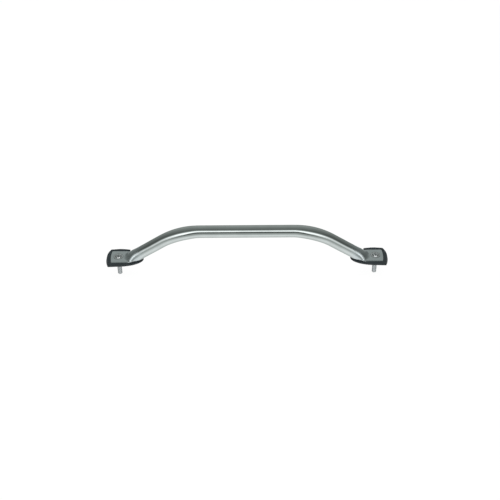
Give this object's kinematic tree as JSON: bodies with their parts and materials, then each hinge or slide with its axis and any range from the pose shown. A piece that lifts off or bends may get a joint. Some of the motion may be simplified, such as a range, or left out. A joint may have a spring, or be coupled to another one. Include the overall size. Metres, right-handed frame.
{
  "type": "grab rail",
  "caption": "Bent round stainless grab rail with pressed flat ends on moulded black base pads, fixed by countersunk machine screws.",
  "frame": {"origin": "midway between the fixing screws, on the mounting plane under the base pads", "axes": "+X along the hand bar, +Y across the rail, +Z away from the deck"},
  "size_m": [0.5016, 0.0444, 0.104],
  "materials": {
    "polished_steel": "polished stainless steel",
    "screw_steel": "bright stainless steel",
    "black_pad": "satin moulded black rubber"
  },
  "bodies": {
    "root": {"rail_tube": "polished_steel", "left_base_pad": "black_pad", "right_base_pad": "black_pad", "left_screw": "screw_steel", "right_screw": "screw_steel"}
  },
  "joints": []
}
